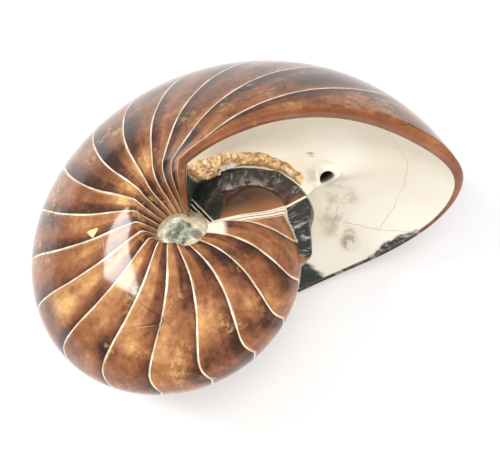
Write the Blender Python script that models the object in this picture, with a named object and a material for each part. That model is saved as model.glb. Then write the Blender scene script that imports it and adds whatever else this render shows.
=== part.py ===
# A fossil nautilus: the whole coil of chambers, polished, lying on its lower flank.
# The body chamber is missing, so the coil ends at the hollow face of its last septum.
import math

import bmesh
import bpy
from mathutils import Matrix, Vector

# The coil, in metres. Other lengths are shares of the radius at the open end.
VENTER_RADIUS = 0.0862
GROWTH_PER_TURN = 2.655
HALF_WIDTH = 0.508
SHOULDER_RADIUS = 0.169
UMBILICUS_RADIUS = 0.055
UMBILICUS_HEIGHT = 0.173
UMBILICUS_CAP = 0.7
FLANK_FULLNESS = 1.87
SHOULDER_STATION = 0.3

# The mesh: rows along the coil and columns from one umbilicus over the keel to the other.
COLUMNS = 44
OUTER_ROWS = 52
END_ROWS = 3
SEPTUM_ROWS = 10
DORSAL_ROWS = 6
HOLLOW_COLUMNS = 36
HOLLOW_SPAN = (0.3, 1.7)
MERGE_DISTANCE = 0.00002

# The rim's angle ahead of the reference plane, in degrees, from upper to lower umbilicus.
RIM_STATIONS = (0.0, 0.15, 0.3, 0.45, 0.6, 0.8, 1.0, 1.2, 1.4, 1.6, 1.8, 2.0)
RIM_ANGLES = (-15.0, -19.0, -25.8, -17.9, -8.9, 2.2, 6.3, 6.6, 4.7, 0.0, -2.7, -5.7)
LIP_STATIONS = (0.0, 0.15, 0.3, 0.8, 1.0, 1.25, 1.4, 2.0)
LIP_WIDTHS = (0.006, 0.03, 0.05, 0.052, 0.036, 0.016, 0.014, 0.008)

# Where the last septum meets the whorl before it, in degrees behind that whorl's own plane. The bowl of the
# septum heads for an even curve of its own, and only near its foot does it turn to where it meets the whorl.
FOOT_STATIONS = (0.3, 0.36, 0.45, 0.6, 0.75, 0.85, 0.93, 1.0)
FOOT_ANGLES = (-20.0, -45.0, -60.0, -58.0, -45.0, -30.0, -12.0, -7.0)
BOWL_STATIONS = (0.3, 0.36, 0.45, 0.6, 0.75, 0.85, 0.93, 1.0, 1.1, 1.2, 1.3, 1.4, 1.55, 1.7)
BOWL_ANGLES = (-20.0, -45.0, -60.0, -58.0, -46.0, -33.0, -17.0, -11.5, -10.0, -13.0, -19.0, -29.0, -45.0, -20.0)
FOOT_REACH = 3
SEPTUM_DEPTH = 0.1

# The stone left on the whorl before: how much it thickens that whorl towards the keel.
MATRIX_ANGLES = (-70.0, -35.0, -20.0, 0.0, 15.0, 30.0)
MATRIX_SWELL = (0.22, 0.26, 0.30, 0.27, 0.12, 0.0)

# The siphuncle's hole in the septum and the raised neck round it.
HOLE_SHARE = 0.79
HOLE_RADIUS = 0.0021
HOLE_DEPTH = 0.009
NECK_RADIUS = 0.0030
NECK_BASE_RADIUS = 0.0052
NECK_HEIGHT = 0.0008
NECK_DEPTH = 0.0030

# The stone that fills each umbilicus.
PLUG_RADIUS = 0.100
PLUG_THICKNESS = 0.095
PLUG_HEIGHT = 0.125

# The wedge of dark stone in the lower corner of the opening.
WEDGE_PLACE = (1.56, 0.20)
WEDGE_SIZE = (0.060, 0.040, 0.050)

# The granular calcite crust along the foot of the septum.
CRUST_COLUMNS = 26
CRUST_ROWS = 8
CRUST_FROM = 0.40
CRUST_TO = 0.955
CRUST_TOP_STATIONS = (0.40, 0.45, 0.70, 0.88, 0.95)
CRUST_TOP = (0.48, 0.56, 0.78, 0.86, 0.90)
CRUST_FOOT = 0.94
CRUST_GAP = 0.0008
CRUST_THICKNESS = 0.0022
CRUST_LUMPS = 0.0007
CRUST_WAVES = (61, 47, 5)
CRUST_END_WIDTH = 0.15
CRUST_END_HEIGHT = 0.2
CRUST_TAPER = 0.35

# How the coil lies: its axis leans this far, towards this side, and the whole is turned about the vertical.
LEAN = math.radians(19.4)
LEAN_SIDE = math.radians(-65.0)
TURN = math.radians(10.0)
REST_FLAT_DEPTH = 0.0012

# The exposed whorl starts a little ahead of the plane. The cutter's front starts further on, at a multiple
# of that angle, and stands clear of the whorl and of the rim.
WHORL_START = math.radians(10.0)
FRONT_LIFT = 0.03
FRONT_REACH = 0.12
FRONT_START = 2.5
FORWARD = Vector((0.15, -1.0, 0.0)).normalized()

GROWTH = math.log(GROWTH_PER_TURN) / math.tau


def through(stations, values, place):
    """A smooth curve through the listed values."""
    last = len(stations) - 1
    if place <= stations[0]:
        return values[0]
    if place >= stations[last]:
        return values[last]
    k = max(i for i in range(last) if stations[i] <= place)
    span = stations[k + 1] - stations[k]
    t = (place - stations[k]) / span

    def slope(i):
        low, high = max(i - 1, 0), min(i + 1, last)
        return (values[high] - values[low]) / (stations[high] - stations[low])

    a, b = values[k], values[k + 1]
    return (a * (1 + 2 * t) * (1 - t) ** 2 + b * t * t * (3 - 2 * t)
            + span * (slope(k) * t * (1 - t) ** 2 - slope(k + 1) * t * t * (1 - t)))


def ease(low, high, value):
    t = min(max((value - low) / (high - low), 0.0), 1.0)
    return t * t * (3 - 2 * t)


def half(v):
    """The station on the upper half that matches v."""
    return v if v <= 1 else 2 - v


def section(v):
    """Radius and height of the whorl's outline: v runs from 0, upper umbilicus, over 1, keel, to 2."""
    w = half(v)
    if w < SHOULDER_STATION:
        s = w / SHOULDER_STATION
        radius = UMBILICUS_RADIUS + (SHOULDER_RADIUS - UMBILICUS_RADIUS) * s
        height = HALF_WIDTH - (HALF_WIDTH - UMBILICUS_HEIGHT) * (1 - s) ** 2
    else:
        t = (w - SHOULDER_STATION) / (1 - SHOULDER_STATION) * math.pi / 2
        radius = SHOULDER_RADIUS + (1 - SHOULDER_RADIUS) * math.sin(t) ** (2 / FLANK_FULLNESS)
        height = HALF_WIDTH * max(math.cos(t), 0.0) ** (2 / FLANK_FULLNESS)
    return radius, height if v <= 1 else -height


def on_coil(angle, radius, height):
    """A point at an angle along the coil, which winds clockwise seen from above."""
    size = VENTER_RADIUS * math.exp(GROWTH * angle)
    return Vector((size * radius * math.cos(angle), -size * radius * math.sin(angle), size * height))


def matrix_swell(angle, v):
    degrees = math.degrees(angle)
    return 1 + through(MATRIX_ANGLES, MATRIX_SWELL, degrees) * ease(0.3, 0.95, half(v))


def wall_point(angle, v):
    """The outer surface, with the stone left on the start of the exposed whorl."""
    radius, height = section(v)
    swell = matrix_swell(angle + math.tau, v)
    return on_coil(angle, radius * swell, height * swell)


def rim_angle(v):
    return math.radians(through(RIM_STATIONS, RIM_ANGLES, v))


def foot_angle(v):
    return math.radians(through(FOOT_STATIONS, FOOT_ANGLES, half(v))) - math.tau


def bowl_angle(v):
    return math.radians(through(BOWL_STATIONS, BOWL_ANGLES, v)) - math.tau


def lip_point(v):
    """The inner edge of the lip that runs round the open end."""
    step = 0.02
    r0, z0 = section(max(v - step, 0.0))
    r1, z1 = section(min(v + step, 2.0))
    length = math.hypot(r1 - r0, z1 - z0)
    inward = through(LIP_STATIONS, LIP_WIDTHS, v)
    radius, height = section(v)
    radius += inward * (z1 - z0) / length
    height -= inward * (r1 - r0) / length
    return on_coil(rim_angle(v), radius, height)


def septum_point(v, share):
    """The hollow septum, from its edge at the lip, share 0, to its foot, share 1."""
    foot = wall_point(foot_angle(v), v)
    bowl = wall_point(bowl_angle(v), v)
    depth = VENTER_RADIUS * SEPTUM_DEPTH * ease(0.1, 0.8, half(v))
    even = lip_point(v).lerp(bowl, share) - FORWARD * depth * 4 * share * (1 - share)
    return even + (foot - bowl) * share ** FOOT_REACH


def coil_row(k):
    """A row of the coil: the exposed whorl up to the rim, then the flat end back to the start."""
    if k <= OUTER_ROWS:
        t = k / OUTER_ROWS
        return lambda v: wall_point(rim_angle(v) * t + (WHORL_START - math.tau) * (1 - t), v)
    t = (k - OUTER_ROWS) / END_ROWS
    return lambda v: wall_point(rim_angle(v), v).lerp(wall_point(WHORL_START - math.tau, v), t)


def hollow_row(k):
    """A row of the cutter for the opening: septum, whorl before, and a front that stands clear."""
    if k <= SEPTUM_ROWS:
        return lambda v: septum_point(v, k / SEPTUM_ROWS)
    k -= SEPTUM_ROWS
    if k <= DORSAL_ROWS:
        t = k / DORSAL_ROWS

        def dorsal(v):
            angle = foot_angle(v) * (1 - t) + (WHORL_START - math.tau) * t
            return wall_point(angle, v) * (1 + FRONT_LIFT * t ** 3)

        return dorsal
    if k == DORSAL_ROWS + 1:
        return lambda v: wall_point(FRONT_START * WHORL_START - math.tau, v) * (1 + 4 * FRONT_LIFT)
    if k == DORSAL_ROWS + 2:
        return lambda v: lip_point(v) + FORWARD * VENTER_RADIUS * FRONT_REACH
    return lambda v: septum_point(v, 0)


def shaped_grid(columns, rows, place):
    """A grid whose corner-to-corner shares are turned into points by the function given."""
    bm = bmesh.new()
    bmesh.ops.create_grid(bm, x_segments=columns, y_segments=rows, size=0.5)
    for vert in bm.verts:
        vert.co = place(vert.co.x + 0.5, vert.co.y + 0.5)
    return bm


def finish_mesh(bm, name):
    bmesh.ops.remove_doubles(bm, verts=bm.verts, dist=MERGE_DISTANCE)
    bmesh.ops.triangulate(bm, faces=bm.faces)
    bmesh.ops.recalc_face_normals(bm, faces=bm.faces)
    mesh = bpy.data.meshes.new(name)
    bm.to_mesh(mesh)
    bm.free()
    return mesh


def cap_umbilicus(bm, side):
    """Closes one end of the tube with a fan to a point on the axis."""
    rim = [e for e in bm.edges if e.is_boundary and e.verts[0].co.z * side > 0]
    face = bmesh.ops.contextual_create(bm, geom=rim)["faces"]
    centre = bmesh.ops.poke(bm, faces=face)["verts"][0]
    centre.co = Vector((0.0, 0.0, side * VENTER_RADIUS * UMBILICUS_HEIGHT * UMBILICUS_CAP))


def coil_mesh():
    rows = OUTER_ROWS + END_ROWS
    bm = shaped_grid(COLUMNS, rows, lambda x, y: coil_row(round(y * rows))(2 * x))
    bmesh.ops.remove_doubles(bm, verts=bm.verts, dist=MERGE_DISTANCE)
    cap_umbilicus(bm, 1)
    cap_umbilicus(bm, -1)
    return finish_mesh(bm, "nautilus_shell")


def hollow_mesh():
    rows = SEPTUM_ROWS + DORSAL_ROWS + 3
    start, end = HOLLOW_SPAN

    def place(x, y):
        return hollow_row(round(y * rows))(start + (end - start) * x)

    bm = shaped_grid(HOLLOW_COLUMNS, rows, place)
    bmesh.ops.remove_doubles(bm, verts=bm.verts, dist=MERGE_DISTANCE)
    for side in (1, -1):
        rim = [e for e in bm.edges if e.is_boundary and (e.verts[0].co.z * side > 0)]
        face = bmesh.ops.contextual_create(bm, geom=rim)["faces"]
        bmesh.ops.poke(bm, faces=face)
    return finish_mesh(bm, "hollow_cutter")


def round_solid(name, place, size):
    """A ball pressed to three half sizes, as a tool for joining."""
    bm = bmesh.new()
    bmesh.ops.create_uvsphere(bm, u_segments=20, v_segments=10, radius=1.0)
    bmesh.ops.scale(bm, vec=size, verts=bm.verts)
    bmesh.ops.translate(bm, vec=place, verts=bm.verts)
    return finish_mesh(bm, name)


def septum_facing(v, share):
    """The direction that the septum faces at one of its points."""
    across = septum_point(v + 0.01, share) - septum_point(v - 0.01, share)
    down = septum_point(v, share + 0.01) - septum_point(v, share - 0.01)
    facing = across.cross(down).normalized()
    return facing if facing.y < 0 else -facing


def post(name, place, facing, radii, depth):
    """A round post with its axis along the direction that the septum faces."""
    bm = bmesh.new()
    turned = facing.to_track_quat("Z", "Y").to_matrix().to_4x4()
    bmesh.ops.create_cone(bm, cap_ends=True, segments=18, radius1=radii[0], radius2=radii[1],
                          depth=depth, matrix=Matrix.Translation(place) @ turned)
    return finish_mesh(bm, name)


def crust_mesh():
    """A lumpy band with a flat back that follows the septum along its foot."""

    def place(x, y):
        around = 2 * math.pi * y
        across = 0.5 - 0.5 * math.cos(around)
        v = CRUST_FROM + (CRUST_TO - CRUST_FROM) * x
        taper = math.sin(math.pi * x) ** CRUST_TAPER if 0.001 < x < 0.999 else 0.0
        top = through(CRUST_TOP_STATIONS, CRUST_TOP, v)
        middle = (top + CRUST_FOOT) / 2
        spread = (CRUST_FOOT - top) * max(taper, CRUST_END_WIDTH)
        share = middle + spread * (across - 0.5)
        along, up, slant = CRUST_WAVES
        lumps = CRUST_LUMPS * math.sin(along * v) * math.sin(up * share + slant * v)
        height = max(math.sin(around), 0.0) * (CRUST_THICKNESS * max(taper, CRUST_END_HEIGHT) + lumps)
        return septum_point(v, share) + septum_facing(v, share) * (CRUST_GAP + height)

    bm = shaped_grid(CRUST_COLUMNS, CRUST_ROWS * 2, place)
    bmesh.ops.remove_doubles(bm, verts=bm.verts, dist=MERGE_DISTANCE)
    for _ in range(2):
        rim = connected_loop([e for e in bm.edges if e.is_boundary])
        bmesh.ops.contextual_create(bm, geom=rim)
    return finish_mesh(bm, "calcite_crust")


def connected_loop(edges):
    """Those of the edges that hang together with the first."""
    found = [edges[0]]
    ends = set(edges[0].verts)
    grown = True
    while grown:
        more = [e for e in edges if e not in found and ends.intersection(e.verts)]
        for edge in more:
            found.append(edge)
            ends.update(edge.verts)
        grown = bool(more)
    return found


def collection(name):
    group = bpy.data.collections.new(name)
    bpy.context.scene.collection.children.link(group)
    return group


def add_object(name, mesh, group, material=None):
    obj = bpy.data.objects.new(name, mesh)
    group.objects.link(obj)
    if material:
        mesh.materials.append(material)
    return obj


def material(name, colour, roughness):
    mat = bpy.data.materials.new(name)
    mat.use_nodes = True
    shader = mat.node_tree.nodes["Principled BSDF"]
    shader.inputs["Base Color"].default_value = (*colour, 1.0)
    shader.inputs["Roughness"].default_value = roughness
    shader.inputs["Metallic"].default_value = 0.0
    return mat


def join_or_cut(obj, tool, operation):
    """An exact Boolean with a tool that stays out of the render."""
    tool.hide_render = True
    tool.display_type = "WIRE"
    boolean = obj.modifiers.new(tool.name, "BOOLEAN")
    boolean.operation = operation
    boolean.solver = "EXACT"
    boolean.object = tool


def lay_down(objects):
    """Leans the coil onto its flank, turns it, centres it and sinks its lowest point by the flat's depth."""
    lean_axis = Vector((-math.sin(LEAN_SIDE), math.cos(LEAN_SIDE), 0.0))
    matrix = Matrix.Rotation(TURN, 4, "Z") @ Matrix.Rotation(-LEAN, 4, lean_axis)
    for obj in objects:
        obj.data.transform(matrix)
    shell = objects[0].data
    low = Vector([min(v.co[i] for v in shell.vertices) for i in range(3)])
    high = Vector([max(v.co[i] for v in shell.vertices) for i in range(3)])
    shift = Vector((-(low.x + high.x) / 2, -(low.y + high.y) / 2, -low.z - REST_FLAT_DEPTH))
    for obj in objects:
        obj.data.transform(Matrix.Translation(shift))


def ground_block():
    """What lies under the ground plane: it is cut away to leave the flat on which the coil rests."""
    bm = bmesh.new()
    bmesh.ops.create_cube(bm, size=1.0)
    bmesh.ops.scale(bm, vec=(4 * VENTER_RADIUS, 4 * VENTER_RADIUS, 0.02), verts=bm.verts)
    bmesh.ops.translate(bm, vec=(0.0, 0.0, -0.01), verts=bm.verts)
    return finish_mesh(bm, "ground_cutter")


def build():
    for obj in list(bpy.data.objects):
        bpy.data.objects.remove(obj, do_unlink=True)
    fossil = collection("fossil_nautilus")
    cutters = collection("cutters")

    polished = material("polished_calcite", (0.30, 0.13, 0.05), 0.22)
    granular = material("granular_calcite", (0.72, 0.48, 0.22), 0.55)
    shell = add_object("nautilus_shell", coil_mesh(), fossil, polished)
    crust = add_object("calcite_crust", crust_mesh(), fossil, granular)

    unit = VENTER_RADIUS
    hole = septum_point(1.0, HOLE_SHARE)
    facing = septum_facing(1.0, HOLE_SHARE)
    neck_centre = hole + facing * (NECK_HEIGHT - NECK_DEPTH / 2)
    plug_size = [unit * s for s in (PLUG_RADIUS, PLUG_RADIUS, PLUG_THICKNESS)]
    joined = [round_solid("upper_plug", (0, 0, unit * PLUG_HEIGHT), plug_size),
              round_solid("lower_plug", (0, 0, -unit * PLUG_HEIGHT), plug_size),
              round_solid("stone_wedge", septum_point(*WEDGE_PLACE), Vector(WEDGE_SIZE) * unit),
              post("siphuncle_neck", neck_centre, facing, (NECK_BASE_RADIUS, NECK_RADIUS), NECK_DEPTH)]
    cut = [post("siphuncle_hole", hole, facing, (HOLE_RADIUS, HOLE_RADIUS), 2 * HOLE_DEPTH)]
    hollow = add_object("hollow_cutter", hollow_mesh(), cutters)
    tools = [add_object(mesh.name, mesh, cutters) for mesh in joined + cut]
    lay_down([shell, crust, hollow] + tools)
    join_or_cut(shell, hollow, "DIFFERENCE")
    for tool in tools[:len(joined)]:
        join_or_cut(shell, tool, "UNION")
    for tool in tools[len(joined):]:
        join_or_cut(shell, tool, "DIFFERENCE")
    join_or_cut(shell, add_object("ground_cutter", ground_block(), cutters), "DIFFERENCE")


build()
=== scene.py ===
import math

import bmesh
import bpy
from mathutils import Matrix, Vector, noise


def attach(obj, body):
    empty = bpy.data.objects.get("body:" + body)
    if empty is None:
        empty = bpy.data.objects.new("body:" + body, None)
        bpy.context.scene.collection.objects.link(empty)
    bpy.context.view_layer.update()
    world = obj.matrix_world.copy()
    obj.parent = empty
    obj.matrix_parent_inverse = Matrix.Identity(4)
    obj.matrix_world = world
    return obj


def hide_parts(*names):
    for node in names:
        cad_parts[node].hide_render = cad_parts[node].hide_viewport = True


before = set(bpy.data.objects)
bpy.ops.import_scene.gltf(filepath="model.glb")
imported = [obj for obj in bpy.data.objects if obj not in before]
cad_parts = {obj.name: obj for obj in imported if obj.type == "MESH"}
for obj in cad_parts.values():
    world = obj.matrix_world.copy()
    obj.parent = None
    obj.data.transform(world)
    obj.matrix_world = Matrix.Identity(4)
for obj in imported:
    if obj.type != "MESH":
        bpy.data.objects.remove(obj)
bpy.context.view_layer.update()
print("frame loaded")

# the coil, in metres and in shares of the radius at the open end
coil = {
    "ventralRadius": 0.0862,
    "growthPerTurn": 2.655,
    "halfWidth": 0.508,
    "shoulderRadius": 0.169,
    "umbilicusRadius": 0.055,
    "umbilicusHeight": 0.173,
    "flankFullness": 1.87,
    "shoulderStation": 0.3,
    "lean": 19.4,               # degrees, how far the axis leans
    "leanSide": -65.0,
    "turn": 10.0,
    "place": (-0.0162626, -0.013231, 0.0381594),   # where the coil's centre lies in the frame
}

# the septa that the polish cuts through: spacing and the wave of each line from umbilicus to keel, in degrees
septa = {
    "spacing": 17.5,
    "crowding": 0.0974,         # times the square of the septum's number
    "count": 19,
    "waveStations": (0.0, 1 / 7, 2 / 7, 3 / 7, 4 / 7, 5 / 7, 6 / 7, 1.0),
    "wave": (20.8, -2.4, -4.8, -7.0, -3.1, 2.3, 5.5, 3.5),
    "shifts": (0, 0.3, 0.2, -0.3, -0.2, -1.2, -0.4, 0.7, 1.4, 1.1, 1.0, 0.1, -0.2, -0.4, -1.2, -1.2, 0, 0.5,
               0.3, 0),
}

# the open end: angles in degrees, widths and depths in shares of the radius there
mouth = {
    "rimStations": (0.0, 0.15, 0.3, 0.45, 0.6, 0.8, 1.0, 1.2, 1.4, 1.6, 1.8, 2.0),
    "rimAngles": (-15.0, -19.0, -25.8, -17.9, -8.9, 2.2, 6.3, 6.6, 4.7, 0.0, -2.7, -5.7),
    "lipStations": (0.0, 0.15, 0.3, 0.8, 1.0, 1.25, 1.4, 2.0),
    "lipWidths": (0.006, 0.03, 0.05, 0.052, 0.036, 0.016, 0.014, 0.008),
    "lipBulge": 0.008,
    "forward": (0.15, -1.0, 0.0),    # the way it faces before the coil is laid down
    "footStations": (0.3, 0.36, 0.45, 0.6, 0.75, 0.85, 0.93, 1.0),
    "footAngles": (-20.0, -45.0, -60.0, -58.0, -45.0, -30.0, -12.0, -7.0),
    "footReach": 3,
    "bowlStations": (0.3, 0.36, 0.45, 0.6, 0.75, 0.85, 0.93, 1.0, 1.1, 1.2, 1.3, 1.4, 1.55, 1.7),
    "bowlAngles": (-20.0, -45.0, -60.0, -58.0, -46.0, -33.0, -17.0, -11.5, -10.0, -13.0, -19.0, -29.0, -45.0,
                   -20.0),
    "depth": 0.1,
    "depthStations": (0.1, 0.8),
}

# the stone left on the whorl before, and the brown wall that shows beside it; angles in degrees
dorsal = {
    "swellAngles": (-70.0, -35.0, -20.0, 0.0, 8.0, 20.0, 34.0),
    "swell": (0.22, 0.26, 0.30, 0.26, 0.16, 0.11, 0.08),
    "swellStations": (0.3, 0.95),
    "swellFrom": -325.0,        # only the wall further back than this is thickened
    "brownDip": 0.17,           # how far the brown wall lies under the dark stone
    "brownAngles": (8, -10),
    "edgeStations": (0.3, 0.45, 0.6, 0.75, 0.83, 0.88, 0.94, 0.975, 1.0),
    "edgeAngles": (-11.0, -30.0, -38.0, -33.0, -22.0, -11.0, 5.0, 18.0, 27.0),
    "edgeFade": 2.5,
    "startStations": (0.0, 0.3, 0.5, 0.7, 0.97, 1.1, 2.0),
    "startAngles": (10.0, 10.0, 6.0, 3.0, -4.0, -2.0, 8.0),
    "slabEnd": 24.0,            # where the slab of dark stone past the keel ends
    "slabFade": 1.5,
    "bumpHeight": 0.0005,       # metres
    "bumpFade": 4,              # rows at both ends where the bumps die out
}

growth = math.log(coil["growthPerTurn"]) / math.tau
unit = coil["ventralRadius"]
forward = Vector(mouth["forward"]).normalized()


def through(stations, values, place):
    # a smooth curve through the listed values
    last = len(stations) - 1
    if place <= stations[0]:
        return values[0]
    if place >= stations[last]:
        return values[last]
    k = max(i for i in range(last) if stations[i] <= place)
    span = stations[k + 1] - stations[k]
    t = (place - stations[k]) / span

    def slope(i):
        low, high = max(i - 1, 0), min(i + 1, last)
        return (values[high] - values[low]) / (stations[high] - stations[low])

    a, b = values[k], values[k + 1]
    return (a * (1 + 2 * t) * (1 - t) ** 2 + b * t * t * (3 - 2 * t)
            + span * (slope(k) * t * (1 - t) ** 2 - slope(k + 1) * t * t * (1 - t)))


def ease(low, high, value):
    # 0 at low, 1 at high, and smooth between them
    t = min(max((value - low) / (high - low), 0.0), 1.0)
    return t * t * (3 - 2 * t)


def half(v):
    # stations run from 0 at the umbilicus over the keel at 1 to the other umbilicus at 2
    return v if v <= 1 else 2 - v


def section(v):
    # the whorl's cross section: radius and height, as shares of the radius there
    w = half(v)
    if w < coil["shoulderStation"]:
        s = w / coil["shoulderStation"]
        radius = coil["umbilicusRadius"] + (coil["shoulderRadius"] - coil["umbilicusRadius"]) * s
        height = coil["halfWidth"] - (coil["halfWidth"] - coil["umbilicusHeight"]) * (1 - s) ** 2
    else:
        t = (w - coil["shoulderStation"]) / (1 - coil["shoulderStation"]) * math.pi / 2
        power = 2 / coil["flankFullness"]
        radius = coil["shoulderRadius"] + (1 - coil["shoulderRadius"]) * math.sin(t) ** power
        height = coil["halfWidth"] * max(math.cos(t), 0.0) ** power
    return radius, height if v <= 1 else -height


def onCoil(degrees, radius, height):
    angle = math.radians(degrees)
    size = unit * math.exp(growth * angle)
    return Vector((size * radius * math.cos(angle), -size * radius * math.sin(angle), size * height))


def stoneShare(behind, v):
    # 1 on the dark stone, 0 on the brown wall and on the polished whorl
    edge, fade = through(dorsal["edgeStations"], dorsal["edgeAngles"], v), dorsal["edgeFade"]
    share = ease(edge + fade, edge - fade, behind)
    end, fade = dorsal["slabEnd"], dorsal["slabFade"]
    return share * ease(end + fade, end - fade, behind) if v > 1 else share


def dorsalFactor(behind, v):
    # how much the stone and the brown wall thicken the whorl before, at an angle from its plane
    full = through(dorsal["swellAngles"], dorsal["swell"], behind) * ease(*dorsal["swellStations"], half(v))
    low = max(full - dorsal["brownDip"], 0.0) * ease(*dorsal["brownAngles"], behind)
    share = stoneShare(behind, v)
    return 1 + full * share + low * (1 - share)


def wallPoint(degrees, v):
    # a point of the coil's wall, degrees back from the open end
    radius, height = section(v)
    swell = dorsalFactor(degrees + 360, v) if degrees < dorsal["swellFrom"] else 1.0
    return onCoil(degrees, radius * swell, height * swell)


def rimAngle(v):
    return through(mouth["rimStations"], mouth["rimAngles"], v)


def startAngle(v):
    return through(dorsal["startStations"], dorsal["startAngles"], v) - 360


def footAngle(v):
    return through(mouth["footStations"], mouth["footAngles"], half(v)) - 360


def bowlAngle(v):
    return through(mouth["bowlStations"], mouth["bowlAngles"], v) - 360


def septumAngle(number, v):
    # where the polish cuts one septum
    wave = through(septa["waveStations"], septa["wave"], half(v))
    return -septa["spacing"] * number - septa["crowding"] * number ** 2 + septa["shifts"][number] + wave


def lipPoint(v, share=1.0):
    # share 0 on the outside, 1 where the septum starts
    step = 0.02
    r0, z0 = section(max(v - step, 0.0))
    r1, z1 = section(min(v + step, 2.0))
    length = math.hypot(r1 - r0, z1 - z0)
    inward = through(mouth["lipStations"], mouth["lipWidths"], v) * share
    radius, height = section(v)
    radius += inward * (z1 - z0) / length
    height -= inward * (r1 - r0) / length
    bulge = forward * unit * mouth["lipBulge"] * math.sin(math.pi * share)
    return onCoil(rimAngle(v), radius, height) + bulge


def septumPoint(v, share):
    # share 0 at the lip, 1 at the whorl before; the lower part bends from the bowl to the septum's foot
    foot, bowl = wallPoint(footAngle(v), v), wallPoint(bowlAngle(v), v)
    depth = unit * mouth["depth"] * ease(*mouth["depthStations"], half(v))
    even = lipPoint(v).lerp(bowl, share) - forward * depth * 4 * share * (1 - share)
    return even + (foot - bowl) * share ** mouth["footReach"]


def septumFacing(v, share):
    step = 0.01
    across = septumPoint(v + step, share) - septumPoint(v - step, share)
    down = septumPoint(v, share + step) - septumPoint(v, share - step)
    return down.cross(across).normalized()


def layDown():
    # leans the coil onto its flank and puts it where the frame has it
    side = math.radians(coil["leanSide"])
    leanAxis = Vector((-math.sin(side), math.cos(side), 0.0))
    lean = Matrix.Rotation(-math.radians(coil["lean"]), 4, leanAxis)
    turn = Matrix.Rotation(math.radians(coil["turn"]), 4, "Z")
    return Matrix.Translation(coil["place"]) @ turn @ lean


lying = layDown()

# materials


def newMaterial(name):
    mat = bpy.data.materials.new(name)
    mat.use_nodes = True
    mat.node_tree.nodes.clear()
    return mat


class Nodes:
    # short ways to add nodes and links to one material, all on Object coordinates unless told otherwise
    def __init__(self, mat):
        self.tree = mat.node_tree
        self.shader = self.add("ShaderNodeBsdfPrincipled")
        out = self.add("ShaderNodeOutputMaterial")
        self.link(self.shader.outputs[0], out.inputs[0])

    def add(self, kind, **settings):
        node = self.tree.nodes.new(kind)
        for key, value in settings.items():
            setattr(node, key, value)
        return node

    def link(self, a, b):
        self.tree.links.new(a, b)

    def put(self, socket, value):
        if hasattr(value, "is_output"):
            self.link(value, socket)
        else:
            socket.default_value = value

    def math(self, kind, a, b=0.0):
        node = self.add("ShaderNodeMath", operation=kind)
        for socket, value in zip(node.inputs, (a, b)):
            self.put(socket, value)
        return node.outputs[0]

    def plus(self, a, b):
        return self.math("ADD", a, b)

    def less(self, a, b):
        return self.math("SUBTRACT", a, b)

    def times(self, a, b):
        return self.math("MULTIPLY", a, b)

    def larger(self, a, b):
        return self.math("MAXIMUM", a, b)

    def total(self, first, *others):
        # adds up pairs of a value and its share
        result = self.times(*first)
        for value, share in others:
            result = self.plus(result, self.times(value, share))
        return result

    def band(self, value, low, high, start=0.0, end=1.0):
        node = self.add("ShaderNodeMapRange", interpolation_type="SMOOTHSTEP")
        for socket, item in zip(node.inputs, (value, low, high, start, end)):
            self.put(socket, item)
        return node.outputs[0]

    def noise(self, scale, detail=4.0, rough=0.55, distort=0.0, vector=None):
        node = self.add("ShaderNodeTexNoise")
        node.inputs["Scale"].default_value = scale
        node.inputs["Detail"].default_value = detail
        node.inputs["Roughness"].default_value = rough
        node.inputs["Distortion"].default_value = distort
        self.link(vector or self.place(), node.inputs["Vector"])
        return node.outputs["Fac"]

    def place(self):
        if not hasattr(self, "coords"):
            self.coords = self.add("ShaderNodeTexCoord")
        return self.coords.outputs["Object"]

    def attribute(self, name):
        return self.add("ShaderNodeAttribute", attribute_name=name).outputs["Fac"]

    def cells(self, scale, feature="F1", output="Distance"):
        node = self.add("ShaderNodeTexVoronoi", feature=feature)
        node.inputs["Scale"].default_value = scale
        self.link(self.place(), node.inputs["Vector"])
        return node.outputs[output]

    def vector(self, *parts):
        node = self.add("ShaderNodeCombineXYZ")
        for socket, part in zip(node.inputs, parts):
            self.link(part, socket)
        return node.outputs[0]

    def ramp(self, value, stops):
        node = self.add("ShaderNodeValToRGB")
        self.link(value, node.inputs[0])
        line = node.color_ramp
        while len(line.elements) < len(stops):
            line.elements.new(0.5)
        for element, (at, colour) in zip(line.elements, stops):
            element.position = at
            element.color = (*colour, 1.0)
        return node.outputs[0]

    def mix(self, share, a, b):
        node = self.add("ShaderNodeMix", data_type="RGBA")
        for socket, value in ((node.inputs[0], share), (node.inputs[6], a), (node.inputs[7], b)):
            if isinstance(value, tuple):
                value = (*value, 1.0)
            self.put(socket, value)
        return node.outputs[2]

    def bump(self, height, distance, strength=0.5):
        node = self.add("ShaderNodeBump")
        node.inputs["Strength"].default_value = strength
        node.inputs["Distance"].default_value = distance
        self.link(height, node.inputs["Height"])
        self.link(node.outputs[0], self.shader.inputs["Normal"])


calcite = {
    "black": (0.032, 0.013, 0.008),
    "dark": (0.085, 0.030, 0.015),
    "brown": (0.190, 0.066, 0.026),
    "russet": (0.310, 0.122, 0.048),
    "amber": (0.46, 0.225, 0.088),
    "gold": (0.70, 0.43, 0.16),
    "cream": (0.62, 0.50, 0.33),
    "paleCream": (0.82, 0.74, 0.60),
    "lip": (0.21, 0.062, 0.020),
    "chip": (0.80, 0.60, 0.30),
    "clouds": 0.56,             # how much each pattern adds to the tone
    "mottle": 0.22,
    "streaks": 0.36,
    "speck": 0.15,
    "glow": 0.17,
    "brighter": 0.03,
    "deepShade": 0.05,
    "lineShade": 0.14,          # how much darker it gets towards a septum line, from ahead
    "lineReach": (0.0065, 0.0006),    # metres from the line where that starts and ends
    "lineWidth": 0.00024,       # metres, half the width of a septum line
    "lineWobble": 0.0006,
    "wallEdge": (0.0024, 0.0022),     # metres in from the old wall's face where its layers end
    "layersPerMetre": 909.0,
    "layerBand": (0.10, 0.22),
    "relief": 0.0003,           # metres
}


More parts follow.
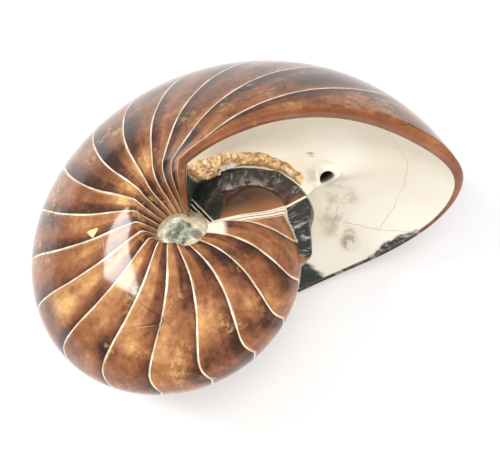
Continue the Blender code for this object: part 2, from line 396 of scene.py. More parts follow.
def polishedCalcite():
    mat = newMaterial("polishedCalcite")
    n = Nodes(mat)
    edge = n.attribute("septumEdge")     # metres to the nearest septum line, drawn out where lines crowd
    side = n.attribute("septumSide")     # positive just ahead of a line, negative just behind it
    # cloudy calcite: broad clouds, mottling, and streaks that run the way the chambers do
    clouds = n.noise(42, 4, 0.6, 0.5)
    mottle = n.noise(150, 5, 0.68, 0.4)
    speck = n.noise(620, 3, 0.6)
    along = n.vector(n.attribute("chamber"), n.times(n.attribute("station"), 3.0))
    streaks = n.noise(1.7, 4, 0.6, 0.3, along)
    tone = n.total((clouds, calcite["clouds"]), (mottle, calcite["mottle"]),
                   (streaks, calcite["streaks"]), (speck, calcite["speck"]))
    glow = n.times(n.attribute("glow"), n.band(n.noise(90, 4, 0.6, 0.8), 0.30, 0.55))
    tone = n.plus(n.plus(tone, calcite["brighter"]), n.times(glow, calcite["glow"]))
    ahead = n.band(side, -0.3, 0.4, 0.0, calcite["lineShade"])
    tone = n.less(tone, n.times(n.band(edge, *calcite["lineReach"]), ahead))
    tone = n.less(tone, n.times(n.attribute("deep"), calcite["deepShade"]))
    base = n.ramp(tone, [(0.46, calcite["black"]), (0.535, calcite["dark"]), (0.61, calcite["brown"]),
                         (0.70, calcite["russet"]), (0.78, calcite["amber"]), (0.87, calcite["gold"])])
    # golden patches of grains
    patch = n.larger(n.band(n.noise(60, 3, 0.55, 1.2), 0.58, 0.67), n.times(glow, 0.9))
    grain = n.band(n.noise(480, 4, 0.75), 0.46, 0.60)
    base = n.mix(n.times(n.times(patch, grain), 0.45), base, calcite["gold"])
    # dark just ahead of each line, a golden fringe just behind it
    shade = n.times(n.band(edge, 0.0018, 0.0003), n.band(side, 0.0, 0.02))
    base = n.mix(n.times(shade, 0.6), base, calcite["black"])
    fringe = n.times(n.band(edge, 0.0012, 0.0003), n.band(side, 0.0, -0.02))
    fringe = n.times(fringe, n.band(n.noise(130, 3), 0.42, 0.62))
    base = n.mix(n.times(fringe, 0.8), base, calcite["amber"])
    # the cream line itself, uneven in width and in tone
    wobble = n.times(n.less(n.noise(110, 3, 0.6), 0.5), calcite["lineWobble"])
    width = n.plus(wobble, calcite["lineWidth"])
    line = n.band(n.less(edge, width), 0.00012, -0.00008)
    cream = n.mix(n.band(n.noise(240, 3), 0.40, 0.60), calcite["cream"], calcite["paleCream"])
    base = n.mix(line, base, cream)
    # the layers of the old wall, the brown lip, the dark stone past the keel, and the golden chip
    depth = n.attribute("wallDepth")
    fill = n.larger(n.attribute("creamFill"), n.band(depth, *calcite["wallEdge"]))
    layer = n.math("PINGPONG", n.plus(n.times(depth, calcite["layersPerMetre"]), 0.25), 0.5)
    layers = n.mix(n.band(layer, *calcite["layerBand"]), calcite["russet"], calcite["paleCream"])
    base = n.mix(fill, base, layers)
    base = n.mix(n.times(n.attribute("lip"), 0.55), base, calcite["lip"])
    rock = n.larger(n.attribute("darkStone"), n.band(n.attribute("keelSide"), -0.3, 0.3))
    base = n.mix(rock, base, stoneColour(n))
    base = n.mix(n.band(n.attribute("chipSide"), 0.0001, -0.0001), base, calcite["chip"])
    # fine healed cracks
    cracks = n.band(n.cells(85, "DISTANCE_TO_EDGE"), 0.018, 0.004)
    cracks = n.times(cracks, n.band(n.noise(55, 2), 0.55, 0.62))
    base = n.mix(n.times(cracks, 0.55), base, calcite["black"])
    n.link(base, n.shader.inputs["Base Color"])
    n.shader.inputs["IOR"].default_value = 1.52
    n.shader.inputs["Specular IOR Level"].default_value = 0.4
    n.shader.inputs["Coat Weight"].default_value = 0.15
    n.shader.inputs["Coat Roughness"].default_value = 0.04
    dull = n.larger(rock, n.times(fill, 0.8))
    rough = n.total((mottle, 0.12), (dull, 0.25))
    n.link(n.plus(rough, 0.05), n.shader.inputs["Roughness"])
    height = n.plus(n.times(line, 0.35), n.times(rock, mottle))
    n.bump(n.less(height, n.times(cracks, 0.5)), calcite["relief"], 0.4)
    return mat


nacre = {
    "ivory": (0.73, 0.655, 0.525),
    "pale": (0.80, 0.765, 0.68),
    "stain": (0.36, 0.29, 0.19),
    "crack": (0.20, 0.17, 0.13),
    "pit": (0.018, 0.016, 0.013),
    "crackWidth": 0.00016,      # metres
    "crackWander": 0.0009,
    "relief": 0.0003,
}


def septumNacre():
    mat = newMaterial("septumNacre")
    n = Nodes(mat)
    clouds = n.band(n.noise(22, 4, 0.55, 0.5), 0.40, 0.62, 0.0, 0.6)
    share = n.plus(clouds, n.times(n.attribute("pale"), 0.6))
    base = n.mix(share, nacre["ivory"], nacre["pale"])
    mottled = n.band(n.noise(190, 5, 0.7, 0.4), 0.44, 0.58)
    stain = n.times(n.attribute("stain"), n.plus(n.times(mottled, 0.85), 0.20))
    base = n.mix(stain, base, nacre["stain"])
    drift = n.times(n.less(n.noise(300, 3), 0.5), nacre["crackWander"])
    beside = n.math("ABSOLUTE", n.plus(n.attribute("crackSide"), drift))
    crack = n.band(beside, nacre["crackWidth"], 0.00002)
    base = n.mix(n.times(crack, n.times(n.attribute("crackMask"), 0.6)), base, nacre["crack"])
    base = n.mix(n.attribute("darkStone"), base, stoneColour(n))
    base = n.mix(n.attribute("pit"), base, nacre["pit"])
    n.link(base, n.shader.inputs["Base Color"])
    n.shader.inputs["IOR"].default_value = 1.5
    n.link(n.plus(n.times(mottled, 0.14), 0.34), n.shader.inputs["Roughness"])
    height = n.plus(n.noise(240, 5, 0.6), n.times(n.attribute("darkStone"), n.noise(600, 4)))
    n.bump(height, nacre["relief"], 0.3)
    return mat


stone = {
    "black": (0.012, 0.012, 0.011),
    "grey": (0.042, 0.040, 0.034),
    "green": (0.022, 0.030, 0.022),
    "streak": (0.40, 0.39, 0.36),
    "brownDark": (0.050, 0.013, 0.007),
    "brownLight": (0.30, 0.115, 0.038),
    "cream": (0.80, 0.72, 0.58),
    "layerBand": (0.10, 0.22),
    "seamSpacing": 0.00055,     # metres, half the step from one septum line to the next at the wall's foot
    "seamLine": (0.00024, 0.00014),
    "seamEdge": (0.00024, 0.00018),
    "relief": 0.0014,
}


def stoneColour(n):
    # dark stone with pale streaks that run round the whorl
    green = n.attribute("greenStone")
    along = n.vector(n.times(n.attribute("behind"), 0.07), n.times(n.attribute("station"), 9.0),
                     n.times(n.attribute("relief"), 900.0))
    streak = n.band(n.noise(3.6, 6, 0.78, 0.9, along), 0.52, 0.62)
    dark = n.mix(n.noise(210, 5, 0.7), stone["black"], stone["grey"])
    dark = n.mix(n.times(green, 0.8), dark, stone["green"])
    return n.mix(n.times(streak, n.less(0.75, n.times(green, 0.6))), dark, stone["streak"])


def dorsalStone():
    mat = newMaterial("dorsalStone")
    n = Nodes(mat)
    black = n.attribute("darkStone")
    cloud = n.times(n.less(n.noise(130, 4), 0.5), 0.6)
    brown = n.mix(n.plus(n.attribute("amberShare"), cloud), stone["brownDark"], stone["brownLight"])
    streak = n.times(n.attribute("edgeStreak"), n.band(n.noise(400, 4), 0.40, 0.60))
    brown = n.mix(streak, brown, stone["streak"])
    base = n.mix(black, brown, stoneColour(n))
    layer = n.math("PINGPONG", n.attribute("layerDepth"), 0.5)
    layers = n.mix(n.band(layer, *stone["layerBand"]), stone["brownLight"], stone["cream"])
    base = n.mix(n.attribute("creamFill"), base, layers)
    # the foot of the last whorl's wall, with its own septum lines
    seam = n.attribute("seamSide")
    line = n.band(n.math("PINGPONG", seam, stone["seamSpacing"]), *stone["seamLine"])
    foot = n.mix(line, stone["brownDark"], stone["cream"])
    base = n.mix(n.band(seam, *stone["seamEdge"]), base, foot)
    n.link(base, n.shader.inputs["Base Color"])
    n.link(n.plus(n.times(black, 0.16), 0.12), n.shader.inputs["Roughness"])
    n.shader.inputs["IOR"].default_value = 1.5
    n.shader.inputs["Coat Weight"].default_value = 0.2
    n.shader.inputs["Coat Roughness"].default_value = 0.05
    n.bump(n.times(n.noise(330, 6, 0.7), black), stone["relief"], 0.7)
    return mat


sugar = {
    "shadow": (0.42, 0.215, 0.085),
    "middle": (0.72, 0.47, 0.22),
    "light": (0.86, 0.66, 0.40),
    "white": (0.94, 0.85, 0.70),
    "pale": (0.80, 0.74, 0.70),
    "grains": 850,
    "relief": 0.0006,           # metres
}


def granularCalcite():
    mat = newMaterial("granularCalcite")
    n = Nodes(mat)
    grains = n.cells(sugar["grains"])
    shade = n.cells(sugar["grains"], output="Color")
    # painted light and shade on the grains: raised grains lighter, the pits between them darker
    tone = n.total((shade, 0.40), (n.noise(120, 4), 0.60), (n.attribute("rise"), 0.12))
    base = n.ramp(tone, [(0.34, sugar["shadow"]), (0.47, sugar["middle"]), (0.60, sugar["light"]),
                         (0.76, sugar["white"])])
    # painted shade: the crust turns to its shadow colour towards its lower edge, where its front face turns
    # away from the light
    base = n.mix(n.times(n.attribute("low"), 0.75), base, sugar["shadow"])
    base = n.mix(n.attribute("pale"), base, sugar["pale"])
    n.link(base, n.shader.inputs["Base Color"])
    n.link(n.plus(n.times(grains, 0.4), 0.30), n.shader.inputs["Roughness"])
    n.shader.inputs["IOR"].default_value = 1.5
    n.bump(grains, sugar["relief"], 0.8)
    return mat


plug = {
    # shares of the radius at the open end
    "radius": 0.118,
    "thickness": 0.100,
    "height": 0.152,
    "shift": (0.0008, -0.0020),    # metres, where the stone sits beside the axis
    # shares of the plug's own radius
    "rimCentre": (0.08, -0.13),
    "rimFrom": 0.37,
    "rimTo": 0.46,
    "rimRagged": 0.06,
    "pitCentre": (0.54, -0.34),
    "pitEdge": (0.20, 0.11),
    "pitDepth": 0.10,
    "lumps": 0.025,
    "ringRadius": 0.5,
    "ringWidth": 0.1,
    "ringHeight": 0.06,
    "dark": (0.045, 0.055, 0.035),
    "green": (0.20, 0.22, 0.15),
    "grey": (0.42, 0.43, 0.33),
    "pale": (0.74, 0.71, 0.60),
    "tan": (0.52, 0.44, 0.30),
    "cream": (0.76, 0.69, 0.54),
    "pit": (0.020, 0.020, 0.016),
    "relief": 0.0007,           # metres
}


def plugStone():
    mat = newMaterial("plugStone")
    n = Nodes(mat)
    crystals = n.noise(420, 6, 0.68, 0.6)
    tone = n.total((crystals, 0.6), (n.noise(150, 4, 0.6), 0.4))
    base = n.ramp(tone, [(0.40, plug["dark"]), (0.48, plug["green"]), (0.55, plug["grey"]),
                         (0.64, plug["pale"])])
    rim = n.mix(n.band(n.noise(260, 4), 0.42, 0.60), plug["tan"], plug["cream"])
    base = n.mix(n.times(n.attribute("rimShare"), 0.9), base, rim)
    base = n.mix(n.attribute("darkStone"), base, plug["pit"])
    n.link(base, n.shader.inputs["Base Color"])
    n.link(n.plus(n.times(crystals, 0.3), 0.14), n.shader.inputs["Roughness"])
    n.bump(crystals, plug["relief"], 0.6)
    return mat


floor = {
    "size": 3.0,
    "drop": 0.00001,            # metres under the shell
    "grey": (0.86, 0.86, 0.86),
    "white": (0.90, 0.90, 0.90),
    "roughness": 0.75,
}


def paleFloor():
    mat = newMaterial("paleFloor")
    n = Nodes(mat)
    n.link(n.mix(n.noise(3, 2), floor["grey"], floor["white"]), n.shader.inputs["Base Color"])
    n.shader.inputs["Roughness"].default_value = floor["roughness"]
    return mat


# meshes


def toObject(bm, name, mats):
    bm.normal_update()
    mesh = bpy.data.meshes.new(name)
    bm.to_mesh(mesh)
    bm.free()
    mesh.shade_smooth()
    obj = bpy.data.objects.new(name, mesh)
    bpy.context.scene.collection.objects.link(obj)
    for mat in mats:
        obj.data.materials.append(mat)
    return obj


def gridMesh(columns, rows, layerNames):
    # a flat grid with named float layers, and each corner's column and row
    bm = bmesh.new()
    for name in layerNames:
        bm.verts.layers.float.new(name)
    layers = {name: bm.verts.layers.float[name] for name in layerNames}
    bmesh.ops.create_grid(bm, x_segments=columns, y_segments=rows, size=0.5)
    spots = [(v, round((v.co.x + 0.5) * columns), round((v.co.y + 0.5) * rows)) for v in bm.verts]
    return bm, layers, spots


def closeEnds(bm):
    # caps each open loop with a face, split into a fan
    while True:
        open_ = [e for e in bm.edges if e.is_boundary]
        if not open_:
            break
        loop, ends, grown = {open_[0]}, set(open_[0].verts), True
        while grown:
            more = [e for e in open_ if e not in loop and ends.intersection(e.verts)]
            loop.update(more)
            for edge in more:
                ends.update(edge.verts)
            grown = bool(more)
        faces = bmesh.ops.contextual_create(bm, geom=list(loop))["faces"]
        bmesh.ops.poke(bm, faces=faces)
    bmesh.ops.recalc_face_normals(bm, faces=bm.faces)


shell = {
    "columns": 230,
    "rowsPerChamber": 9,
    "lipRows": 5,
    "septumRows": 95,
    "dorsalRows": 70,
    "evenSpacing": 0.0060,      # metres, septum lines closer than this have their bands drawn out
    "leastSpacing": 0.0002,
    "lowest": 0.00001,          # metres over the floor
    "merge": 0.000015,
}

marks = {
    # places on the septum as (station, share)
    "cracks": (((0.75, 0.02), (0.86, 0.14), (0.99, 0.22), (1.12, 0.24), (1.25, 0.20), (1.30, 0.18),
                (1.34, 0.15)),
               ((1.36, 0.33), (1.355, 0.24), (1.35, 0.14), (1.315, 0.02)),
               ((1.29, 0.47), (1.35, 0.40), (1.42, 0.32))),
    "crackStations": (0.6, 1.5),
    "crackFade": (0.0024, 0.0012),
    "darkMark": (0.89, 0.72),
    "darkMarkEdge": (0.0009, 0.0004),
    # stains and pale patches as (station, share, millimetres across, strength)
    "stains": ((0.96, 0.86, 5.0, 0.6), (1.13, 0.66, 6.5, 0.5), (1.25, 0.50, 8.0, 0.65),
               (1.35, 0.42, 7.0, 0.6), (1.425, 0.18, 4.5, 1.0), (1.40, 0.24, 4.0, 0.7),
               (1.40, 0.34, 5.0, 0.5)),
    "pales": ((0.88, 0.52, 15.0, 0.8), (1.50, 0.20, 8.0, 1.0), (1.1, 0.1, 12.0, 0.5)),
    "blotCore": 0.3,            # share of the size that has the full strength
    # the dark stone along the septum's edges
    "wedgeShares": (0.0, 0.06, 0.26, 0.6),
    "wedgeStations": (1.56, 1.555, 1.535, 1.49),
    "chipStations": (1.27, 1.31, 1.34, 1.37, 1.41, 1.455),
    "chipDepths": (0.0, 0.016, 0.036, 0.048, 0.030, 0.0),
    "recessStations": (0.30, 0.335, 0.40, 0.50, 0.60, 0.70),
    "recessShares": (0.06, 0.39, 0.66, 0.85, 0.95, 1.02),
    "recessEnd": 0.72,
    "lipStone": (1.22, 1.36),   # stations between which the lip turns dark
    # the whorl before
    "greenAngles": (-45.0, -30.0, 0.0, 10.0),
    "greenStations": (0.62, 0.58, 0.46, 0.44),
    "greenFade": 0.012,
    "streakLead": 3.0,          # degrees ahead of the dark stone's edge
    "streakWidth": 2.6,
    "streakStations": (0.90, 0.80),
    "layerWidth": 0.0011,       # metres, one brown and one cream layer of the old wall
    "layerEnd": (0.0009, 0.0006),
    "seam": ((-421.0, 0.50), (-360.0, 0.41)),   # two places on the edge of the umbilicus wall
    "seamEnd": 0.56,
    # the polished flank, places as (degrees, station)
    "creamStart": (0.08, 0.14),
    "creamEnds": ((0.45, 0.485), (0.52, 0.60)),   # stations where the cream of the last two chambers ends
    "keelStation": 0.85,
    "keelLead": 5.0,            # degrees that the cream layers reach past the dark stone's edge
    "keelDegree": 0.00018,      # metres of layers for each degree
    "wallStation": 0.25,
    "chip": (-166.0, 0.45),
    "chipTurns": (1.55, 3.75, 5.55),    # radians, the way its three sides face
    "chipSize": 0.0011,
    "chipReach": 0.008,
    # golden places as (degrees, station, millimetres across, strength)
    "glows": ((-87, 0.34, 8, 1.0), (-129, 0.33, 7, 0.9), (-190, 0.68, 10, 0.7), (-229, 0.66, 9, 0.4),
              (-271, 0.66, 10, 0.6), (-299, 0.77, 9, 0.5), (-8, 0.68, 13, 0.6), (-6, 0.92, 10, 0.6)),
    "glowCore": 0.2,
}

# the attributes that the materials read, with what they say where nothing is marked
unmarked = {"chamber": 0.5, "septumEdge": 0.01, "layerDepth": 0.5, "chipSide": 0.01, "crackSide": 0.01,
            "seamSide": 0.01, "wallDepth": 0.01, "keelSide": -10.0}
for name in ("septumSide", "station", "creamFill", "darkStone", "greenStone", "behind", "relief", "deep",
             "lip", "glow", "stain", "pale", "crackMask", "amberShare", "edgeStreak", "pit"):
    unmarked[name] = 0.0


def chamberAngles(v):
    # the angles of rim, septa and start at one station, from the open end back
    found = [rimAngle(v)] + [septumAngle(i, v) for i in range(1, septa["count"])] + [startAngle(v)]
    for i in range(1, len(found)):
        found[i] = min(found[i], found[i - 1] - 0.5)
    return found


def degreeLength(degrees, v):
    # metres along the spiral for one degree
    return unit * math.exp(growth * math.radians(degrees)) * section(v)[0] * math.radians(1.0)


def stoneEdge(v):
    return through(dorsal["edgeStations"], dorsal["edgeAngles"], v)


def crackField(point, facing, lines):
    # signed distance to the nearest crack, and how much of it shows there
    nearest = unmarked["crackSide"]
    side, mask = nearest, 0.0
    for line in lines:
        for a, b in zip(line, line[1:]):
            t = max(0.0, min(1.0, (point - a).dot(b - a) / (b - a).length_squared))
            away = point - (a + (b - a) * t)
            distance = away.length
            if distance < nearest:
                nearest = distance
                across = (b - a).normalized().cross(facing)
                side = math.copysign(distance, across.dot(away))
                mask = ease(*marks["crackFade"], distance)
    return side, mask


def findPlaces():
    # the marked places as points in space
    places = {
        "hole": septumPoint(1.0, hole["share"]),
        "holeFacing": septumFacing(1.0, hole["share"]),
        "cracks": [[septumPoint(*place) for place in line] for line in marks["cracks"]],
        "darkMark": septumPoint(*marks["darkMark"]),
        "chip": lying @ wallPoint(*marks["chip"]),
        "chipSides": [Vector((math.cos(turn), math.sin(turn), 0.0)) for turn in marks["chipTurns"]],
        "glows": [(wallPoint(angle, v), size / 1000, much) for angle, v, size, much in marks["glows"]],
    }
    for kind in ("stains", "pales"):
        places[kind] = [(septumPoint(v, s), size / 1000, much) for v, s, size, much in marks[kind]]
    places["seamFrom"], seamTo = (lying @ wallPoint(*place) for place in marks["seam"])
    places["seamLine"] = (seamTo - places["seamFrom"]).normalized()
    return places


def polishedFlank(k, angles, v, places, here):
    # a point of the outside, k rows back from the rim
    per, last = shell["rowsPerChamber"], septa["count"] - 1
    block = min(k // per, last)
    a, b = angles[block], angles[block + 1]
    phase = (k - block * per) / per
    angle = a + (b - a) * phase
    point = wallPoint(angle, v)
    size = degreeLength(angle, v)
    spacing = (a - b) * size
    ahead = (a - angle) * size if block else 1.0
    back = (angle - b) * size if block < last else 1.0
    drawnOut = max(1.0, shell["evenSpacing"] / max(spacing, shell["leastSpacing"]))
    here["septumEdge"] = min(min(ahead, back) * drawnOut, unmarked["septumEdge"])
    here["septumSide"] = -math.sin(math.tau * phase)
    here["chamber"] = block + phase
    here["behind"] = angle + 360
    # darker near the open end and half way up the flank
    middle = ease(1.25, 0.75, abs(v - 0.75) + 0.5)
    here["deep"] = ease(-140, -40, angle) * middle * (0.4 + 0.6 * ease(0.25, 0.6, v))
    if block >= last - 1:
        low, high = marks["creamEnds"][block - last + 1]
        here["creamFill"] = ease(high, low, v) * ease(*marks["creamStart"], v)
    if block == last and marks["wallStation"] < v < 1.0:
        # layers of the old shell wall, side by side along its start and its keel
        fromStart, fromKeel = (angle - b) * size, 1.0
        if v > marks["keelStation"]:
            fromKeel = (angle + 360 - stoneEdge(v) - marks["keelLead"]) * marks["keelDegree"]
        here["wallDepth"] = max(min(fromStart, fromKeel), 0.0)
    if block >= last - 1 and v > marks["keelStation"]:
        edge = min(stoneEdge(v) + marks["keelLead"], dorsal["slabEnd"] + dorsal["slabFade"])
        here["keelSide"] = edge - angle - 360
    here["glow"] = max(much * ease(size, size * marks["glowCore"], (point - place).length)
                       for place, size, much in places["glows"])
    away = lying @ point - places["chip"]
    if away.length < marks["chipReach"]:
        here["chipSide"] = max(away.dot(side) for side in places["chipSides"]) - marks["chipSize"]
    return point


def whorlBefore(k, v, places, here):
    # a point of the whorl before, from its start to the foot of the septum
    rows, fade = shell["dorsalRows"], dorsal["bumpFade"]
    angle = startAngle(v) + (footAngle(v) - startAngle(v)) * k / rows
    behind = angle + 360
    ragged = noise.noise(Vector((v * 30, angle * 0.5, 0))) * 2
    rock = stoneShare(behind + ragged, v)
    point = wallPoint(angle, v)
    bumps = noise.fractal(point * 300, 1.0, 2.0, 4) * dorsal["bumpHeight"]
    bumps *= rock * ease(0, fade, k) * ease(rows, rows - fade, k)
    point += point.normalized() * bumps
    green = through(marks["greenAngles"], marks["greenStations"], behind)
    here["greenStone"] = ease(green + marks["greenFade"], green - marks["greenFade"], v)
    here["darkStone"] = max(rock, here["greenStone"])
    beside = (behind - stoneEdge(v) - marks["streakLead"]) / marks["streakWidth"]
    here["edgeStreak"] = math.exp(-beside ** 2) * ease(*marks["streakStations"], v)
    start = startAngle(v) + 360
    here["amberShare"] = ease(stoneEdge(v) + 4, start, behind) ** 3
    fromStart = (start - behind) * degreeLength(angle, v)
    here["creamFill"] = ease(*marks["layerEnd"], fromStart)
    here["layerDepth"] = 0.25 + fromStart / marks["layerWidth"]
    here["behind"], here["relief"] = behind, bumps
    if v < marks["seamEnd"]:
        here["seamSide"] = places["seamLine"].cross(lying @ point - places["seamFrom"]).z
    return point


def lastSeptum(share, v, places, here):
    # a point of the hollow septum, with share 0 at the lip and 1 at the whorl before
    point = septumPoint(v, share)
    here["behind"] = share * 100
    for kind, name in (("stains", "stain"), ("pales", "pale")):
        for place, size, much in places[kind]:
            blot = much * ease(size, size * marks["blotCore"], (point - place).length)
            here[name] = max(here[name], blot)
    if marks["crackStations"][0] < v < marks["crackStations"][1]:
        here["crackSide"], here["crackMask"] = crackField(point, places["holeFacing"], places["cracks"])
    ragged = noise.fractal(Vector((v * 40, share * 20, 0)), 1.0, 2.0, 4)
    edge = through(marks["wedgeShares"], marks["wedgeStations"], share)
    black = ease(edge - 0.003, edge + 0.004, v + ragged * 0.002)
    if marks["chipStations"][0] < v < marks["chipStations"][-1]:
        chips = through(marks["chipStations"], marks["chipDepths"], v) + ragged * 0.012
        black = max(black, ease(0.006, -0.006, share - chips))
    recessShare = 0.0
    if v < marks["recessEnd"]:
        recess = through(marks["recessStations"], marks["recessShares"], v)
        recessShare = ease(recess - 0.03, recess + 0.02, share + ragged * 0.02)
    here["greenStone"] = max(recessShare, 0.9 if v > 1.47 else 0.0)
    darkMark = 0.8 * ease(*marks["darkMarkEdge"], (point - places["darkMark"]).length)
    here["darkStone"] = max(black, recessShare, darkMark)
    return point


def lip(share, v, here):
    here["lip"] = 1.0 if share > 0.1 else 0.5
    here["deep"] = 0.6
    here["darkStone"] = 0.85 * ease(*marks["lipStone"], v)
    return lipPoint(v, share)


def buildShell(mats):
    # one closed skin: outside, whorl before, septum and lip, row by row round to the rim again
    outer, inner = shell["rowsPerChamber"] * septa["count"], shell["dorsalRows"]
    lipStart = outer + inner + shell["septumRows"]
    rows, columns = lipStart + shell["lipRows"], shell["columns"]
    bm, layers, spots = gridMesh(columns, rows, unmarked)
    span = [2 * j / columns for j in range(columns + 1)]
    angles = [chamberAngles(v) for v in span]
    places = findPlaces()
    rowOf = {}
    for vert, j, k in spots:
        v = span[j]
        here = dict(unmarked, station=v)
        if k <= outer:
            point = polishedFlank(k, angles[j], v, places, here)
        elif k < outer + inner:
            point = whorlBefore(k - outer, v, places, here)
        elif k < lipStart:
            point = lastSeptum(1 - (k - outer - inner) / shell["septumRows"], v, places, here)
        else:
            point = lip(1 - (k - lipStart) / shell["lipRows"], v, here)
        spot = lying @ point
        vert.co = (spot.x, spot.y, max(spot.z, shell["lowest"]))
        rowOf[vert] = k
        for name, value in here.items():
            vert[layers[name]] = value
    for face in bm.faces:
        k = sum(rowOf[vert] for vert in face.verts) / 4
        face.material_index = 2 if outer < k < outer + inner else 1 if outer + inner < k < lipStart else 0
    addHole(bm, layers, lying @ places["hole"], lying.to_3x3() @ places["holeFacing"])
    bmesh.ops.remove_doubles(bm, verts=bm.verts, dist=shell["merge"])
    closeEnds(bm)
    return toObject(bm, "nautilusShell", mats)


hole = {
    "share": 0.79,              # how far from the lip to the whorl before, in the plane of the coil
    "radius": 0.0021,           # metres
    "depth": 0.0070,
    "neckHeight": 0.0008,
    "neckWidth": 0.0013,
    "neckOut": 0.7,             # neck widths from the hole's edge to the top of the neck
    "wider": 0.12,              # how much less a distance counts across the coil than along it
    "finer": 0.008,             # metres round the hole where the mesh is split finer
    "reach": 0.012,
}


def ring(distance, middle, width):
    return math.exp(-((distance - middle) / width) ** 2)


def addHole(bm, layers, centre, facing):
    # a finer patch of the septum, pushed in for the siphuncle's hole and out for the neck round it
    near = [e for e in bm.edges if (e.verts[0].co - centre).length < hole["finer"]]
    bmesh.ops.subdivide_edges(bm, edges=near, cuts=2, use_grid_fill=True)
    side = facing.cross(Vector((0.0, 0.0, 1.0))).normalized()
    radius = hole["radius"]
    for vert in bm.verts:
        away = vert.co - centre
        if away.length > hole["reach"]:
            continue
        flat = away - facing * away.dot(facing)
        distance = (flat - side * flat.dot(side) * hole["wider"]).length
        beyond = distance - radius
        neck = hole["neckHeight"] * ring(beyond, hole["neckOut"] * hole["neckWidth"], hole["neckWidth"])
        vert.co += facing * (neck - hole["depth"] * ease(radius + 0.00015, radius - 0.0007, distance))
        vert[layers["pit"]] = ease(radius + 0.0002, radius - 0.0002, distance)
        vert[layers["stain"]] = max(vert[layers["stain"]], 0.35 * ring(beyond, 0.0025, 0.0006),
                                    0.4 * ring(beyond, 0.0, 0.0005))
        vert[layers["pale"]] = max(vert[layers["pale"]], ring(beyond, 0.0012, 0.0008))


crust = {
    "columns": 330,
    "rows": 60,
    "backRows": 6,
    "from": 0.302,
    "to": 0.945,
    "topStations": (0.30, 0.36, 0.42, 0.50, 0.60, 0.70, 0.80, 0.87, 0.945),
    "top": (0.02, 0.18, 0.38, 0.54, 0.68, 0.78, 0.82, 0.88, 0.93),
    "topRagged": 0.022,
    "lowestFoot": 0.995,
    "leastWidth": 0.02,
    "thickness": 0.0013,
    "shelf": 0.0013,            # metres more where it hangs under the rim
    "shelfStations": (0.85, 0.62),
    "grain": 0.00045,
    "sunk": 0.0004,             # metres that the back lies under the septum
    "raised": 0.0002,
    "paleSpot": (0.72, 0.965),
    "paleEdge": (0.0045, 0.0030),
    "merge": 0.000005,
}


def buildCrust(mats):
    # sugary crystals along the foot of the septum, with a back that lies just under its surface
    columns, front = crust["columns"], crust["rows"]
    rows = front + crust["backRows"]
    bm, layers, spots = gridMesh(columns, rows, ("rise", "pale", "low"))
    paleSpot = septumPoint(*crust["paleSpot"])
    for vert, j, k in spots:
        v = crust["from"] + (crust["to"] - crust["from"]) * j / columns
        across = k / front if k <= front else 1 - (k - front) / crust["backRows"]
        top = through(crust["topStations"], crust["top"], v)
        foot = min(through(marks["recessStations"], marks["recessShares"], v), crust["lowestFoot"])
        foot = max(foot, top + crust["leastWidth"])
        ragged = noise.fractal(Vector((v * 45, 0.0, 3.0)), 1.0, 2.0, 3) * crust["topRagged"]
        ragged *= ease(0, 25, j) * ease(columns, columns - 20, j)
        share = top + ragged * (1 - across) + (foot - top) * across
        point = septumPoint(v, share)
        rise = -crust["sunk"]
        if 0 < k <= front:
            ends = ease(0, 14, j) * ease(columns, columns - 14, j)
            dome = ease(0, 0.18, across) * ease(1.0, 0.72, across)
            cells = noise.voronoi(point * 700)[0][0]
            lumps = noise.fractal(point * 300, 0.9, 2.1, 5)
            thick = crust["thickness"] + crust["shelf"] * ease(*crust["shelfStations"], v)
            grains = crust["grain"] * (lumps * 1.4 + 1.3 - 2.6 * cells)
            rise += ends * dome * (thick + grains) + crust["raised"]
            # how far each grain stands up; the colour uses it as painted shade in the pits between grains
            vert[layers["rise"]] = lumps - 1.5 * cells + 0.5
            # painted shade: how much the crust darkens towards its lower edge and front face
            vert[layers["low"]] = ease(0.45, 0.95, across + lumps * 0.12)
        vert[layers["pale"]] = ease(*crust["paleEdge"], (point - paleSpot).length) * 0.8
        vert.co = lying @ (point + septumFacing(v, share) * rise)
    bmesh.ops.remove_doubles(bm, verts=bm.verts, dist=crust["merge"])
    closeEnds(bm)
    return toObject(bm, "crystalCrust", mats)


def buildPlug(name, side, mats):
    # the stone that fills one umbilicus: a low dome of crystals with a cream rim and a dark pit
    bm = bmesh.new()
    bm.verts.layers.float.new("rimShare")
    bm.verts.layers.float.new("darkStone")
    bmesh.ops.create_uvsphere(bm, u_segments=120, v_segments=60, radius=1.0)
    rim, pit = bm.verts.layers.float["rimShare"], bm.verts.layers.float["darkStone"]
    beside = Vector((*plug["shift"], 0.0))
    for vert in bm.verts:
        x, y, z = vert.co
        reach = math.hypot(x - plug["rimCentre"][0], y - plug["rimCentre"][1])
        ragged = noise.noise(vert.co * 6) * plug["rimRagged"]
        vert[rim] = ease(plug["rimFrom"], plug["rimTo"], reach + ragged)
        fromPit = math.hypot(x - plug["pitCentre"][0], y - plug["pitCentre"][1])
        sunk = ease(*plug["pitEdge"], fromPit) if z * side > 0 else 0.0
        vert[pit] = sunk * (0.65 + 0.35 * math.sin(60 * (x + y)))
        lumps = noise.fractal(vert.co * 7, 1.0, 2.0, 4) * plug["lumps"]
        raised = plug["ringHeight"] * ring(reach, plug["ringRadius"], plug["ringWidth"])
        raised -= plug["pitDepth"] * sunk
        height = side * plug["height"] + z * plug["thickness"] * (1 + lumps + raised)
        vert.co = lying @ (Vector((x * plug["radius"], y * plug["radius"], height)) * unit + beside)
    bmesh.ops.recalc_face_normals(bm, faces=bm.faces)
    return toObject(bm, name, mats)


def buildFloor(mat):
    bm = bmesh.new()
    bmesh.ops.create_grid(bm, x_segments=2, y_segments=2, size=floor["size"])
    bmesh.ops.translate(bm, vec=(0, 0, -floor["drop"]), verts=bm.verts)
    return toObject(bm, "floor", [mat])


# the view and the light

camera = {
    "place": (0.003036, -0.105942, 0.341306),
    "aim": (0.002963, -0.002859, 0.03),
    "roll": 10.569,             # degrees
    "lens": 72.0,               # millimetres
    "sensor": 36.0,
    "near": 0.01,
}


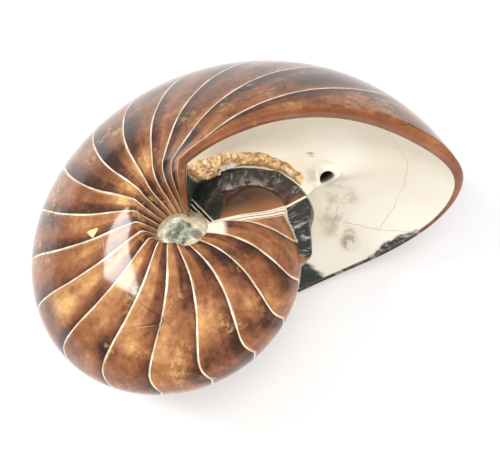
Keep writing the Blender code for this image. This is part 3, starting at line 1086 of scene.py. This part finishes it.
def aimed(place, aim):
    # stands at one place and looks at another
    look = (Vector(aim) - Vector(place)).normalized()
    return Matrix.Translation(place) @ look.to_track_quat("-Z", "Y").to_matrix().to_4x4()


def addCamera():
    data = bpy.data.cameras.new("camera")
    data.lens = camera["lens"]
    data.sensor_width = camera["sensor"]
    data.clip_start = camera["near"]
    obj = bpy.data.objects.new("camera", data)
    bpy.context.scene.collection.objects.link(obj)
    roll = Matrix.Rotation(-math.radians(camera["roll"]), 4, "Z")
    obj.matrix_world = aimed(camera["place"], camera["aim"]) @ roll
    bpy.context.scene.camera = obj


# square lights, sizes in metres and powers in watts
lights = {
    "window": {"place": (-0.42, 0.22, 0.62), "size": 0.27, "power": 3.4},
    "sky": {"place": (0.12, -0.30, 0.98), "size": 0.8, "power": 8.5},
    "fill": {"place": (0.60, -0.72, 0.25), "size": 0.5, "power": 3.2},
}
studio = {"colour": (1.0, 1.0, 1.0, 1.0), "strength": 0.42}


def addLights():
    for name, spec in lights.items():
        data = bpy.data.lights.new(name, "AREA")
        data.size = spec["size"]
        data.energy = spec["power"]
        obj = bpy.data.objects.new(name, data)
        bpy.context.scene.collection.objects.link(obj)
        obj.visible_glossy = name == "window"     # only the window leaves a bright patch in the polish
        obj.matrix_world = aimed(spec["place"], (0.0, 0.0, 0.0))
    world = bpy.data.worlds.new("studio")
    world.use_nodes = True
    world.node_tree.nodes["Background"].inputs[0].default_value = studio["colour"]
    world.node_tree.nodes["Background"].inputs[1].default_value = studio["strength"]
    bpy.context.scene.world = world


# build it all

shellPiece = buildShell([polishedCalcite(), septumNacre(), dorsalStone()])
print("shell built")
plugMaterial = plugStone()
upperPlug = buildPlug("upperPlug", 1, [plugMaterial])
lowerPlug = buildPlug("lowerPlug", -1, [plugMaterial])
crystals = buildCrust([granularCalcite()])
print("plugs and crust built")
for piece in (shellPiece, upperPlug, lowerPlug):
    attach(piece, "root")
    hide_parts("nautilus_shell")
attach(crystals, "root")
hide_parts("calcite_crust")
buildFloor(paleFloor())
addCamera()
addLights()
bpy.context.scene.view_settings.view_transform = "Standard"
print("view and light set")
